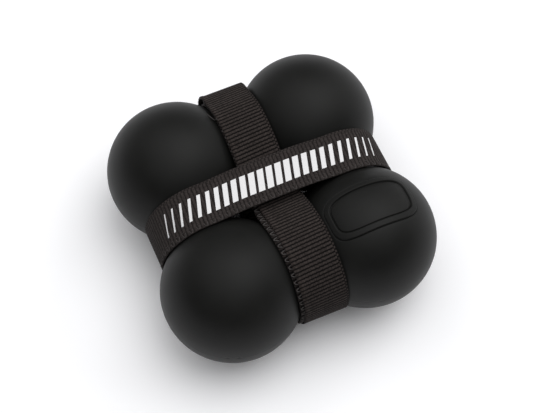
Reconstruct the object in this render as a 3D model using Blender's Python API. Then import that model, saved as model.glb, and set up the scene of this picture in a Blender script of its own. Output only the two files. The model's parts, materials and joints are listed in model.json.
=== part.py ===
"""Spine massager: four moulded rubber balls in a square, bound by two crossing webbing straps.

Metres, +Z up. The floor is z = 0 and the middle of the square is x = y = 0. +X runs along the
printed strap, and +Y along the plain strap, from the front of the massager to its back.
Short rubber links join neighbouring balls. Each strap lies in the valley between two pairs of
balls and closes on itself with hook and loop: its end peels off about a line across the webbing.
"""

import math

import bmesh
import bpy
from mathutils import Matrix, Quaternion, Vector

# Fits, and how meshes are joined and shaded
CLEARANCE = 0.0003
MERGE_DISTANCE = 1e-6
SMOOTH_ANGLE = math.radians(30)
SQUARE_EDGE_ANGLE = math.radians(60)

# Balls
BALL_RADIUS = 0.0385
BALL_GAP = 0.0009
REST_FLAT_RADIUS = 0.005
BALL_SIDES = 40
BALL_RINGS = 10

# Links: a straight neck with a mushroom head on each end
NECK_RADIUS = 0.0055
NECK_LENGTH = 0.019
HEAD_RADIUS = 0.009
HEAD_LENGTH = 0.005
HEAD_FLARE = 0.0035
HEAD_CHAMFER = 0.002
LINK_SIDES = 16

# Webbing
WEBBING_WIDTH = 0.025
WEBBING_THICKNESS = 0.0011
WEBBING_EDGE = 0.0003
PRESSED_IN = 0.0008
CROSSING_MARGIN = 0.0015
LAP_RAMP = 0.012
PATCH_RAMP = 0.015
ARC_STEPS = 24
HALF_FLAT_STEPS = 7
SHORTEST_STEP = 0.2

# Hook and loop patches, sewn between the layers of webbing
PATCH_WIDTH = 0.020
LOOP_THICKNESS = 0.0013
HOOK_THICKNESS = 0.0011
LOOP_LEAD = 0.0035
LOOP_TRAIL = 0.003
HOOK_SETBACK = 0.0012
GRIP_LENGTH = 0.009

# Closures: each end peels off from this angle above the level of the ball centres
PLAIN_ROOT_ANGLE = 28.0
PLAIN_END_LENGTH = 0.042
PRINTED_ROOT_ANGLE = -22.0
PRINTED_END_LENGTH = 0.030
PRINTED_LEAD = 0.0011

# Sag of the plain strap between the balls, below the printed strap, which runs straight across
SAG_START = 0.038
SAG_CURVE = 0.040
SAG_BOTTOM = 0.018

# Sideways wander of the plain strap's outer layer, its inner layer and the printed strap
FRONT_WANDER = 0.0020
BACK_WANDER = 0.0005
INNER_WANDER = -0.0020
PARTING_LEAD = 0.015
PRINTED_WANDER = -0.0010

# Colours: base colour, roughness
RUBBER_COLOUR = ((0.030, 0.030, 0.029, 1.0), 0.55)
LINK_COLOUR = ((0.045, 0.045, 0.045, 1.0), 0.6)
WEBBING_COLOUR = ((0.042, 0.034, 0.033, 1.0), 0.85)
HOOK_COLOUR = ((0.020, 0.020, 0.020, 1.0), 0.7)
LOOP_COLOUR = ((0.028, 0.027, 0.027, 1.0), 0.95)

# Sizes that follow from those above
HALF_PITCH = BALL_RADIUS + BALL_GAP / 2
CENTRE_HEIGHT = math.sqrt(BALL_RADIUS**2 - REST_FLAT_RADIUS**2)


def seat_radius(sideways, u=HALF_PITCH):
    """Lowest height at which a webbing edge clears the balls, at a place on its strap."""
    square = (BALL_RADIUS + CLEARANCE) ** 2
    square -= (HALF_PITCH - abs(sideways)) ** 2 + (HALF_PITCH - abs(u)) ** 2
    return math.sqrt(max(square, 0.0))


SEAT_RADIUS = seat_radius(WEBBING_WIDTH / 2)
LAYER = WEBBING_THICKNESS + CLEARANCE
PATCHES = LOOP_THICKNESS + HOOK_THICKNESS + 2 * CLEARANCE
ARC_LENGTH = math.pi * SEAT_RADIUS
LOOP_LENGTH = 4 * HALF_PITCH + 2 * ARC_LENGTH
TOP_MIDDLE = 2 * HALF_PITCH + ARC_LENGTH
CROSSING = WEBBING_WIDTH / 2 + CROSSING_MARGIN
RUN_IN = HALF_PITCH - CROSSING


def far_arc(angle, turn=0):
    """Distance along the loop to an angle, in degrees above level, on its far arc."""
    return TOP_MIDDLE + HALF_PITCH + SEAT_RADIUS * math.radians(90.0 - angle) + turn * LOOP_LENGTH


def loop_frame(distance):
    """Where a strap's loop is at a distance from the middle of its underside, heading nearward.

    Returns the place u of the loop's core line and the outward direction (u, z).
    """
    along = distance % LOOP_LENGTH
    if along < HALF_PITCH:
        return -along, (0.0, -1.0)
    along -= HALF_PITCH
    if along < ARC_LENGTH:
        turn = along / SEAT_RADIUS
        return -HALF_PITCH, (-math.sin(turn), -math.cos(turn))
    along -= ARC_LENGTH
    if along < 2 * HALF_PITCH:
        return along - HALF_PITCH, (0.0, 1.0)
    along -= 2 * HALF_PITCH
    if along < ARC_LENGTH:
        turn = along / SEAT_RADIUS
        return HALF_PITCH, (math.sin(turn), math.cos(turn))
    return HALF_PITCH - (along - ARC_LENGTH), (0.0, -1.0)


def grid_of_one_turn():
    """Distances of the regular stations of one turn, the same in each layer so that facets nest."""
    flat = HALF_PITCH / HALF_FLAT_STEPS
    arc = ARC_LENGTH / ARC_STEPS
    grid = [i * flat for i in range(HALF_FLAT_STEPS)]
    grid += [HALF_PITCH + i * arc for i in range(ARC_STEPS)]
    grid += [HALF_PITCH + ARC_LENGTH + i * flat for i in range(2 * HALF_FLAT_STEPS)]
    grid += [TOP_MIDDLE + HALF_PITCH + i * arc for i in range(ARC_STEPS)]
    grid += [TOP_MIDDLE + HALF_PITCH + ARC_LENGTH + i * flat for i in range(HALF_FLAT_STEPS)]
    return grid


def stations(start, end):
    """Distances of a strip's cross-sections: its two ends and the regular stations between."""
    spare = SHORTEST_STEP * ARC_LENGTH / ARC_STEPS
    turns = range(math.floor(start / LOOP_LENGTH), math.floor(end / LOOP_LENGTH) + 1)
    regular = [turn * LOOP_LENGTH + place for turn in turns for place in grid_of_one_turn()]
    return [start] + [d for d in regular if start + spare < d < end - spare] + [end]


def ramp(distance, start, length):
    """A smooth rise from 0 at start to 1 at start + length."""
    t = min(max((distance - start) / length, 0.0), 1.0)
    return t * t * (3.0 - 2.0 * t)


def at_crossing(distance, above):
    """1 where the straps cross above, or below, falling to 0 where a strap meets the balls."""
    u, (_, outward_z) = loop_frame(distance)
    if outward_z != (1.0 if above else -1.0):
        return 0.0
    return 1.0 - ramp(abs(u), CROSSING, RUN_IN)


def sag(distance):
    """Depth and slope of the sag above: an arch off the balls into a bowl in the middle."""
    u, (_, outward_z) = loop_frame(distance)
    beyond = SAG_START - abs(u)
    if outward_z != 1.0 or beyond <= 0.0:
        return 0.0, 0.0
    if abs(u) >= SAG_BOTTOM:
        return beyond**2 / (2 * SAG_CURVE), beyond / SAG_CURVE
    steepest = (SAG_START - SAG_BOTTOM) / SAG_CURVE
    bowl = steepest * (SAG_BOTTOM**2 - u**2) / (2 * SAG_BOTTOM)
    return (SAG_START - SAG_BOTTOM) ** 2 / (2 * SAG_CURVE) + bowl, steepest * abs(u) / SAG_BOTTOM


# The plain strap winds nearly twice, from under the front, and its lap hides its own start
PLAIN_START = CROSSING + LAP_RAMP
PLAIN_LAP = PLAIN_START + LOOP_LENGTH
PLAIN_ROOT = far_arc(PLAIN_ROOT_ANGLE, turn=1)
PLAIN_TIP = PLAIN_ROOT + PLAIN_END_LENGTH
PLAIN_TOP = TOP_MIDDLE + LOOP_LENGTH

# The printed strap winds once and laps its own start low on the right
PRINTED_ROOT = far_arc(PRINTED_ROOT_ANGLE, turn=1)
PRINTED_START = PRINTED_ROOT - PRINTED_LEAD - LOOP_LENGTH
PRINTED_TIP = PRINTED_ROOT + PRINTED_END_LENGTH


def plain_radius(distance):
    """Radius of the plain strap's inner face: two layers that sag above and are pressed in below."""
    lap = LAYER * ramp(distance, PLAIN_LAP - LAP_RAMP, LAP_RAMP)
    over_patches = PATCHES * ramp(distance, PLAIN_ROOT - PATCH_RAMP, PATCH_RAMP)
    depth, slope = sag(distance)
    lifted = (lap + over_patches) * math.hypot(1.0, slope)
    return SEAT_RADIUS + lifted - depth - PRESSED_IN * at_crossing(distance, above=False)


def plain_wander(distance):
    """Sideways shift of the plain strap: its layers part in front and meet beyond the crossing."""
    front = ramp(distance, PLAIN_LAP - LAP_RAMP, LAP_RAMP)
    front -= ramp(distance, PLAIN_TOP - HALF_PITCH, HALF_PITCH + CROSSING)
    back = ramp(distance, PLAIN_TOP, CROSSING) - ramp(distance, PLAIN_TOP + HALF_PITCH, PATCH_RAMP)
    inner = ramp(distance, TOP_MIDDLE - HALF_PITCH - PARTING_LEAD, RUN_IN + PARTING_LEAD)
    inner -= ramp(distance, TOP_MIDDLE - CROSSING, 2 * CROSSING)
    return FRONT_WANDER * front + BACK_WANDER * back + INNER_WANDER * inner


def printed_radius(distance):
    """Radius of the printed strap's inner face: straight above, and over the plain strap below."""
    hump = (LAYER - PRESSED_IN) * at_crossing(distance, above=False)
    over_start = (LAYER + PATCHES) * ramp(distance, PRINTED_ROOT - PATCH_RAMP, PATCH_RAMP)
    return SEAT_RADIUS + hump + over_start


def printed_wander(distance):
    """Sideways shift of the printed strap: a little towards the back where it crosses above."""
    return PRINTED_WANDER * at_crossing(distance, above=True)


def no_wander(distance):
    """A loop patch runs true along the valley."""
    return 0.0


def loop_patch_radius(distance):
    """The soft patch lies on the inner layer of webbing."""
    return SEAT_RADIUS + LAYER


def hook_patch_radius(distance):
    """The hook patch lies on the loop patch."""
    return loop_patch_radius(distance) + LOOP_THICKNESS + CLEARANCE


def material(name, colour):
    """A Principled material of one colour and roughness."""
    made = bpy.data.materials.new(name)
    made.use_nodes = True
    shader = made.node_tree.nodes["Principled BSDF"]
    shader.inputs["Base Color"].default_value = colour[0]
    shader.inputs["Roughness"].default_value = colour[1]
    return made


def add_object(name, bm, made_of=None):
    """Turns a bmesh into a scene object."""
    mesh = bpy.data.meshes.new(name)
    bm.to_mesh(mesh)
    bm.free()
    thing = bpy.data.objects.new(name, mesh)
    bpy.context.scene.collection.objects.link(thing)
    if made_of is not None:
        mesh.materials.append(made_of)
    return thing


def turned(profile, axis, sides, start=0.0):
    """A closed body of revolution from a profile of (radius, height) points about an axis.

    Its first corner lies start sides round from straight up, or from +X on an upright axis.
    """
    bm = bmesh.new()
    along = Vector(axis)
    out = Vector((0, 0, 1)) if abs(along.z) < 0.5 else Vector((1, 0, 0))
    out.rotate(Quaternion(along, start * math.tau / sides))
    verts = [bm.verts.new(out * radius + along * height) for radius, height in profile]
    edges = [bm.edges.new(pair) for pair in zip(verts, verts[1:])]
    geometry = verts + edges
    bmesh.ops.spin(
        bm, geom=geometry, cent=(0, 0, 0), axis=along, angle=math.tau, steps=sides, use_merge=True
    )
    bmesh.ops.remove_doubles(bm, verts=bm.verts, dist=MERGE_DISTANCE)
    bmesh.ops.recalc_face_normals(bm, faces=bm.faces)
    return bm


def ball_profile():
    """A circle from the top pole to the small flat that the rubber's weight presses at its foot."""
    foot = math.asin(REST_FLAT_RADIUS / BALL_RADIUS) - math.pi / 2
    upper = [math.pi / 2 * (1 - i / BALL_RINGS) for i in range(BALL_RINGS)]
    lower = [foot * i / BALL_RINGS for i in range(BALL_RINGS + 1)]
    circle = [(BALL_RADIUS * math.cos(a), BALL_RADIUS * math.sin(a)) for a in upper + lower]
    circle[0] = (0.0, BALL_RADIUS)
    return circle + [(0.0, -CENTRE_HEIGHT)]


def link_profile(grow):
    """Half of a link's outline as (radius, distance from its middle), grown all round."""
    shoulder = NECK_LENGTH / 2 - grow
    rim = shoulder + HEAD_FLARE
    end = NECK_LENGTH / 2 + HEAD_FLARE + HEAD_LENGTH + HEAD_CHAMFER + grow
    return [
        (NECK_RADIUS + grow, shoulder),
        (HEAD_RADIUS + grow, rim),
        (HEAD_RADIUS + grow, end - HEAD_CHAMFER),
        (HEAD_RADIUS + grow - HEAD_CHAMFER, end),
        (0.0, end),
    ]


def link_body(axis, grow):
    """A link, or with grow its socket, turned about an axis."""
    half = link_profile(grow)
    whole = [(radius, -place) for radius, place in reversed(half)] + half
    return turned(whole, axis, LINK_SIDES, start=0.5)


def smooth(thing):
    """Shades round faces smooth and keeps the sharp edges."""
    thing.data.shade_smooth()
    thing.data.set_sharp_from_angle(angle=SMOOTH_ANGLE)


def make_links(rubber):
    """The four links on the sides of the square, and the cutters for their sockets."""
    sides = {
        "front": ((0, -HALF_PITCH), (1, 0, 0)),
        "back": ((0, HALF_PITCH), (1, 0, 0)),
        "left": ((-HALF_PITCH, 0), (0, 1, 0)),
        "right": ((HALF_PITCH, 0), (0, 1, 0)),
    }
    sockets = {}
    for side, ((x, y), axis) in sides.items():
        link = add_object(f"link_{side}", link_body(axis, 0.0), rubber)
        socket = add_object(f"socket_cutter_{side}", link_body(axis, CLEARANCE))
        for thing in (link, socket):
            thing.location = (x, y, CENTRE_HEIGHT)
        smooth(link)
        socket.hide_render = True
        socket.display_type = "WIRE"
        sockets[side] = socket
    return sockets


def make_balls(rubber, sockets):
    """The four balls, each with a socket towards both of its neighbours."""
    for row, y in (("front", -HALF_PITCH), ("back", HALF_PITCH)):
        for column, x in (("left", -HALF_PITCH), ("right", HALF_PITCH)):
            body = turned(ball_profile(), (0, 0, 1), BALL_SIDES)
            ball = add_object(f"ball_{row}_{column}", body, rubber)
            ball.location = (x, y, CENTRE_HEIGHT)
            smooth(ball)
            for side in (row, column):
                cut = ball.modifiers.new(f"socket_{side}", "BOOLEAN")
                cut.operation = "DIFFERENCE"
                cut.solver = "EXACT"
                cut.object = sockets[side]


def place(direction, u, sideways, height):
    """A point of a strap's own frame in world axes. Height is above the ball centres."""
    if direction == "Y":
        return Vector((sideways, u, CENTRE_HEIGHT + height))
    return Vector((u, -sideways, CENTRE_HEIGHT + height))


def strip(name, direction, span, radius, thickness, width, wander, made_of):
    """A strip of webbing or patch wound along the loop between two distances.

    Its inner face is a ribbon laid station by station, which is then thickened outwards.
    Where a shifted edge would sink into a ball, that edge rises to lean on the ball.
    """
    bm = bmesh.new()
    previous = None
    for distance in stations(*span):
        u, (out_u, out_z) = loop_frame(distance)
        row = []
        for side in (-1, 1):
            sideways = wander(distance) + side * width / 2
            reach = max(radius(distance), seat_radius(sideways, u))
            row.append(bm.verts.new(place(direction, u + out_u * reach, sideways, out_z * reach)))
        if previous:
            bm.faces.new((previous[0], previous[1], row[1], row[0]))
        previous = row
    thing = add_object(name, bm, made_of)
    body = thing.modifiers.new("thickness", "SOLIDIFY")
    body.thickness = thickness
    body.offset = 1.0
    body.use_even_offset = True
    return thing


def soften(thing, width):
    """Rounds the long edges and ends of a strip of webbing."""
    edge = thing.modifiers.new("woven_edge", "BEVEL")
    edge.width = width
    edge.segments = 1
    edge.limit_method = "ANGLE"
    edge.angle_limit = SQUARE_EDGE_ANGLE


def hinge_point(direction, distance, reach):
    """A point of a strap's outer face, in world axes."""
    u, (out_u, out_z) = loop_frame(distance)
    return place(direction, u + out_u * reach, 0.0, out_z * reach)


def hang_on(hinge, thing):
    """Parents a thing to a hinge empty and leaves it where it is."""
    thing.data.transform(Matrix.Translation(-hinge.location))
    thing.parent = hinge


def make_strap(name, direction, start, root, tip, radius, wander, fabrics):
    """One strap: its wound band, its two patches, and the end that peels off at the root."""
    webbing, hook_tape, loop_tape = fabrics
    outer = radius(root) + WEBBING_THICKNESS
    hinge = bpy.data.objects.new(f"{name}_strap_hinge", None)
    hinge.location = hinge_point(direction, root + CLEARANCE / 2, outer)
    bpy.context.scene.collection.objects.link(hinge)

    hook_start = root + HOOK_SETBACK
    hook_end = tip - GRIP_LENGTH
    loop_start = max(root - LOOP_LEAD, start + LOOP_LENGTH)
    loop_span = (loop_start - LOOP_LENGTH, hook_end + LOOP_TRAIL - LOOP_LENGTH)
    band = strip(
        f"{name}_strap_band", direction, (start, root), radius,
        WEBBING_THICKNESS, WEBBING_WIDTH, wander, webbing,
    )
    end = strip(
        f"{name}_strap_end", direction, (root + CLEARANCE, tip), radius,
        WEBBING_THICKNESS, WEBBING_WIDTH, wander, webbing,
    )
    hook = strip(
        f"{name}_strap_hook_patch", direction, (hook_start, hook_end), hook_patch_radius,
        HOOK_THICKNESS, PATCH_WIDTH, wander, hook_tape,
    )
    loop = strip(
        f"{name}_strap_loop_patch", direction, loop_span, loop_patch_radius,
        LOOP_THICKNESS, PATCH_WIDTH, no_wander, loop_tape,
    )
    for thing in (band, end, hook, loop):
        smooth(thing)
    for thing in (band, end):
        soften(thing, WEBBING_EDGE)
    for thing in (end, hook):
        hang_on(hinge, thing)


def main():
    """Builds the whole massager."""
    for thing in list(bpy.data.objects):
        bpy.data.objects.remove(thing)
    rubber = material("ball_rubber", RUBBER_COLOUR)
    link_rubber = material("link_rubber", LINK_COLOUR)
    fabrics = (
        material("webbing", WEBBING_COLOUR),
        material("hook_tape", HOOK_COLOUR),
        material("loop_tape", LOOP_COLOUR),
    )
    sockets = make_links(link_rubber)
    make_balls(rubber, sockets)
    make_strap(
        "plain", "Y", PLAIN_START, PLAIN_ROOT, PLAIN_TIP, plain_radius, plain_wander, fabrics
    )
    make_strap(
        "printed", "X", PRINTED_START, PRINTED_ROOT, PRINTED_TIP, printed_radius, printed_wander,
        fabrics,
    )


main()
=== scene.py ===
"""Looks of a spine massager: four moulded rubber balls bound by two crossing webbing straps.

Metres, +Z up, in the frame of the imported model. The floor is z = 0 and the middle of the square of
balls is x = y = 0. +X runs along the printed strap and +Y along the plain strap, front to back.
"""

import json
import logging
import math
import random
from dataclasses import dataclass, replace
from enum import Enum
from typing import Any, Callable, Iterable, NamedTuple, Sequence

import bmesh
import bpy
import numpy as np
from mathutils import Matrix, Quaternion, Vector

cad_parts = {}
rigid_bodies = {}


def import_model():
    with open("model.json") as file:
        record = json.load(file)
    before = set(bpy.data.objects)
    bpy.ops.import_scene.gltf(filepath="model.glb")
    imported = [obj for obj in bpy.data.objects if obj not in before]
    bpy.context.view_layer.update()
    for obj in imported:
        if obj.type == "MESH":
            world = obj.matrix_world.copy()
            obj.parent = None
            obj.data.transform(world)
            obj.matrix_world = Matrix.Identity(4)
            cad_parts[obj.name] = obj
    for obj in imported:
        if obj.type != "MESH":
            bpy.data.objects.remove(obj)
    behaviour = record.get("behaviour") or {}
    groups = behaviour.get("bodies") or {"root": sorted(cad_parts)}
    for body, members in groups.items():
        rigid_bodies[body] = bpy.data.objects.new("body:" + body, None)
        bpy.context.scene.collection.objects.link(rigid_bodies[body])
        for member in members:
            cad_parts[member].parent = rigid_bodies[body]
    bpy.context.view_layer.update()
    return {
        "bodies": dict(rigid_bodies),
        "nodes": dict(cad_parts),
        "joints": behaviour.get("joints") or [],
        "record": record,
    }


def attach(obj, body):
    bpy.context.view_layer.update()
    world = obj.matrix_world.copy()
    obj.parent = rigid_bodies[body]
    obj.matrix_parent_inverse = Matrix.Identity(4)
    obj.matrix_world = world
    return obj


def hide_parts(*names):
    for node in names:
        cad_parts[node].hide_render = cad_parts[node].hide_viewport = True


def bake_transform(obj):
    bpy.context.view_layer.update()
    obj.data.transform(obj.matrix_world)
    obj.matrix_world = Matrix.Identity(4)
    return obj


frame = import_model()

LOG = logging.getLogger("spine_massager")

Colour = tuple[float, float, float]
Rule = Callable[[float], float]
Socket = bpy.types.NodeSocket

CLUSTER = "cluster"
PROUD = "proud"
NOISE_SPAN = (0.3, 0.7)
RUBBER_CREASE = 40.0
TAPE_CREASE = 60.0
WEAVE_CREASE = 75.0
YARN_CREASE = 80.0


class Row(Enum):
    """The two rows of balls."""

    FRONT = "front"
    BACK = "back"


class Column(Enum):
    """The two columns of balls."""

    LEFT = "left"
    RIGHT = "right"


class Direction(Enum):
    """The world axis that a strap runs along."""

    ALONG_X = "x"
    ALONG_Y = "y"

    def place(self, u: float, sideways: float, height: float) -> Vector:
        """Turns a place on a strap into world axes.

        Args:
            u: Place along the strap's axis, from the middle of the square.
            sideways: Place across the strap.
            height: Height above the floor.

        Returns:
            The point in world axes.
        """
        if self is Direction.ALONG_Y:
            return Vector((sideways, u, height))
        return Vector((u, -sideways, height))


class Side(Enum):
    """One edge of a strap, as the sign of its sideways places."""

    LOW = -1
    HIGH = 1


class Tape(Enum):
    """The two halves of a hook-and-loop closure."""

    HOOKS = "hooks"
    PILE = "pile"


def ramp(distance: float, start: float, length: float) -> float:
    """A smooth rise from 0 at start to 1 at start + length."""
    t = min(max((distance - start) / length, 0.0), 1.0)
    return t * t * (3.0 - 2.0 * t)


@dataclass(frozen=True)
class BallSquare:
    """The square of balls that everything else sits on."""

    ball_radius: float = 0.0385
    ball_gap: float = 0.0009
    foot_radius: float = 0.005
    clearance: float = 0.0003

    @property
    def half_pitch(self) -> float:
        """Half the distance between neighbouring ball centres."""
        return self.ball_radius + self.ball_gap / 2

    @property
    def level(self) -> float:
        """Height of the ball centres above the floor."""
        return math.sqrt(self.ball_radius**2 - self.foot_radius**2)

    def seat_radius(self, sideways: float, u: float | None = None) -> float:
        """Lowest height over the ball centres at which a webbing edge clears the balls.

        Args:
            sideways: The edge's place across its strap.
            u: Its place along the strap, or None over a ball's own middle.

        Returns:
            The distance from the line through the ball centres.
        """
        beside = self.half_pitch - abs(sideways)
        along = 0.0 if u is None else self.half_pitch - abs(u)
        square = (self.ball_radius + self.clearance) ** 2 - beside**2 - along**2
        return math.sqrt(max(square, 0.0))


@dataclass(frozen=True)
class Section:
    """A cross-section of a ribbon: where its inner face lies at one distance along its loop."""

    direction: Direction
    level: float
    u: float
    out: tuple[float, float]
    centre: float
    width: float
    reach: tuple[float, float]

    def at(self, sideways: float, height: float) -> Vector:
        """A world point of the ribbon.

        Args:
            sideways: Place across the ribbon, from its own centre line.
            height: Height above its inner face.

        Returns:
            The point in world axes.
        """
        share = sideways / self.width + 0.5
        reach = self.reach[0] + (self.reach[1] - self.reach[0]) * share + height
        along = self.u + self.out[0] * reach
        return self.direction.place(along, self.centre + sideways, self.level + self.out[1] * reach)


@dataclass(frozen=True)
class Ribbon:
    """A flat strip laid along a strap's loop by a rule for its radius and one for its wander."""

    path: "StrapPath"
    width: float
    radius: Rule
    wander: Rule

    def section(self, distance: float) -> Section:
        """The ribbon's cross-section at a place.

        Args:
            distance: Distance along its loop.

        Returns:
            The cross-section, lifted where an edge would touch a ball.
        """
        u, out = self.path.frame(distance)
        centre = self.wander(distance)
        radius = self.radius(distance)
        square = self.path.square
        reach = tuple(
            max(radius, square.seat_radius(centre + side.value * self.width / 2, u)) for side in Side
        )
        return Section(self.path.direction, square.level, u, out, centre, self.width, reach)


@dataclass(frozen=True)
class StrapPath:
    """The stadium-shaped loop that a strap follows, and the layers wound along it.

    Distances start in the middle of the underside and run towards the low end of the axis first.
    """

    square: BallSquare
    direction: Direction
    width: float = 0.025
    thickness: float = 0.0011
    pressed_in: float = 0.0008
    crossing_margin: float = 0.0015
    patch_ramp: float = 0.015
    patch_width: float = 0.020
    pile_thickness: float = 0.0013
    hook_thickness: float = 0.0011
    pile_lead: float = 0.0035
    pile_trail: float = 0.003
    hook_setback: float = 0.0012
    grip_length: float = 0.009
    root: float = 0.0
    start: float = 0.0
    end_length: float = 0.0

    @property
    def seat(self) -> float:
        """Radius at which the innermost webbing rests on the balls."""
        return self.square.seat_radius(self.width / 2)

    @property
    def arc(self) -> float:
        """Length of the half turn at each end of the loop."""
        return math.pi * self.seat

    @property
    def turn(self) -> float:
        """Length of one whole turn."""
        return 4 * self.square.half_pitch + 2 * self.arc

    @property
    def top_middle(self) -> float:
        """Distance of the middle of the top."""
        return 2 * self.square.half_pitch + self.arc

    @property
    def crossing(self) -> float:
        """How far from the middle the straps press on each other."""
        return self.width / 2 + self.crossing_margin

    @property
    def run_in(self) -> float:
        """Length from there to where the strap meets the balls."""
        return self.square.half_pitch - self.crossing

    @property
    def layer(self) -> float:
        """Height that one layer of webbing adds."""
        return self.thickness + self.square.clearance

    @property
    def patches(self) -> float:
        """Height that the two closure patches add."""
        return self.pile_thickness + self.hook_thickness + 2 * self.square.clearance

    @property
    def tip(self) -> float:
        """Distance of the free tip."""
        return self.root + self.end_length

    def far_arc(self, angle: float, turns: int = 0) -> float:
        """Distance to an angle in degrees above level on the far arc."""
        past_top = self.square.half_pitch + self.seat * math.radians(90.0 - angle)
        return self.top_middle + past_top + turns * self.turn

    def frame(self, distance: float) -> tuple[float, tuple[float, float]]:
        """Where the loop is at a distance.

        Args:
            distance: Distance along the loop.

        Returns:
            The place u of its core line, and the outward direction (u, z).
        """
        half = self.square.half_pitch
        along = distance % self.turn
        if along < half:
            return -along, (0.0, -1.0)
        along -= half
        if along < self.arc:
            angle = along / self.seat
            return -half, (-math.sin(angle), -math.cos(angle))
        along -= self.arc
        if along < 2 * half:
            return along - half, (0.0, 1.0)
        along -= 2 * half
        if along < self.arc:
            angle = along / self.seat
            return half, (math.sin(angle), math.cos(angle))
        return half - (along - self.arc), (0.0, -1.0)

    def at_crossing(self, distance: float, above: bool) -> float:
        """How near a place is to where the straps cross.

        Args:
            distance: Distance along the loop.
            above: Whether the crossing above is meant, or the one below.

        Returns:
            1 at the crossing, falling to 0 where this strap meets the balls.
        """
        u, (_, outward_z) = self.frame(distance)
        if outward_z != (1.0 if above else -1.0):
            return 0.0
        return 1.0 - ramp(abs(u), self.crossing, self.run_in)

    def radius(self, distance: float) -> float:
        """Radius of the webbing's inner face. Each kind of strap has its own rule."""
        return self.seat

    def wander(self, distance: float) -> float:
        """Sideways shift of the webbing: none, unless a kind of strap says so."""
        return 0.0

    def webbing(self) -> Ribbon:
        """The strap's webbing as a ribbon."""
        return Ribbon(self, self.width, self.radius, self.wander)

    def pile(self) -> Ribbon:
        """The pile patch, which lies on the inner layer of webbing."""
        return Ribbon(self, self.patch_width, lambda _: self.seat + self.layer, lambda _: 0.0)

    def hooks(self) -> Ribbon:
        """The hook patch, which lies on the pile patch."""
        height = self.seat + self.layer + self.pile_thickness + self.square.clearance
        return Ribbon(self, self.patch_width, lambda _: height, self.wander)

    def hook_span(self) -> tuple[float, float]:
        """Distances between which the hook patch is sewn."""
        return self.root + self.hook_setback, self.tip - self.grip_length

    def pile_span(self) -> tuple[float, float]:
        """Distances between which the pile patch is sewn, one turn before the hooks."""
        first = max(self.root - self.pile_lead, self.start + self.turn)
        return first - self.turn, self.hook_span()[1] + self.pile_trail - self.turn

    def bend(self, length: float) -> tuple[Vector, Vector]:
        """Start and end of the stretch where the peeled end bends.

        Args:
            length: How long the bending stretch is.

        Returns:
            Two world points, from the root along the webbing.
        """
        section = self.webbing().section(self.root)
        start = section.at(0.0, self.thickness / 2)
        out_u, out_z = section.out
        onward = self.direction.place(out_z, 0.0, -out_u)
        return start, start + onward * length


@dataclass(frozen=True)
class PlainPath(StrapPath):
    """The plain strap winds nearly twice and closes over the back."""

    direction: Direction = Direction.ALONG_Y
    root_angle: float = 28.0
    end_length: float = 0.042
    lap_ramp: float = 0.012
    front_wander: float = 0.0020
    back_wander: float = 0.0005
    inner_wander: float = -0.0020
    parting_lead: float = 0.015
    sag_start: float = 0.038
    sag_curve: float = 0.040
    sag_bottom: float = 0.018

    def __post_init__(self) -> None:
        """Works out where the strap starts and where its end peels off."""
        object.__setattr__(self, "start", self.crossing + self.lap_ramp)
        object.__setattr__(self, "root", self.far_arc(self.root_angle, turns=1))

    @property
    def lap(self) -> float:
        """Distance at which the webbing passes over its own start."""
        return self.start + self.turn

    def sag(self, distance: float) -> tuple[float, float]:
        """How far the strap sags between the balls above.

        Args:
            distance: Distance along the loop.

        Returns:
            The depth, and the slope of the webbing there.
        """
        u, (_, outward_z) = self.frame(distance)
        beyond = self.sag_start - abs(u)
        if outward_z != 1.0 or beyond <= 0.0:
            return 0.0, 0.0
        if abs(u) >= self.sag_bottom:
            return beyond**2 / (2 * self.sag_curve), beyond / self.sag_curve
        arch = self.sag_start - self.sag_bottom
        steepest = arch / self.sag_curve
        bowl = steepest * (self.sag_bottom**2 - u**2) / (2 * self.sag_bottom)
        return arch**2 / (2 * self.sag_curve) + bowl, steepest * abs(u) / self.sag_bottom

    def radius(self, distance: float) -> float:
        """Two layers, and then the closure patches, that sag above and are pressed in below.

        Args:
            distance: Distance along the loop.

        Returns:
            The radius of the webbing's inner face there.
        """
        lap = self.layer * ramp(distance, self.lap - self.lap_ramp, self.lap_ramp)
        over_patches = self.patches * ramp(distance, self.root - self.patch_ramp, self.patch_ramp)
        depth, slope = self.sag(distance)
        lifted = (lap + over_patches) * math.hypot(1.0, slope)
        return self.seat + lifted - depth - self.pressed_in * self.at_crossing(distance, above=False)

    def wander(self, distance: float) -> float:
        """The layers part in front, the outer one to the right, and meet beyond the crossing.

        Args:
            distance: Distance along the loop.

        Returns:
            The webbing's sideways shift there.
        """
        inner_top = self.top_middle
        outer_top = inner_top + self.turn
        front = ramp(distance, self.lap - self.lap_ramp, self.lap_ramp)
        front -= ramp(distance, outer_top - self.square.half_pitch, self.square.half_pitch + self.crossing)
        back = ramp(distance, outer_top, self.crossing)
        back -= ramp(distance, outer_top + self.square.half_pitch, self.patch_ramp)
        parting = inner_top - self.square.half_pitch - self.parting_lead
        inner = ramp(distance, parting, self.run_in + self.parting_lead)
        inner -= ramp(distance, inner_top - self.crossing, 2 * self.crossing)
        return self.front_wander * front + self.back_wander * back + self.inner_wander * inner


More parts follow.
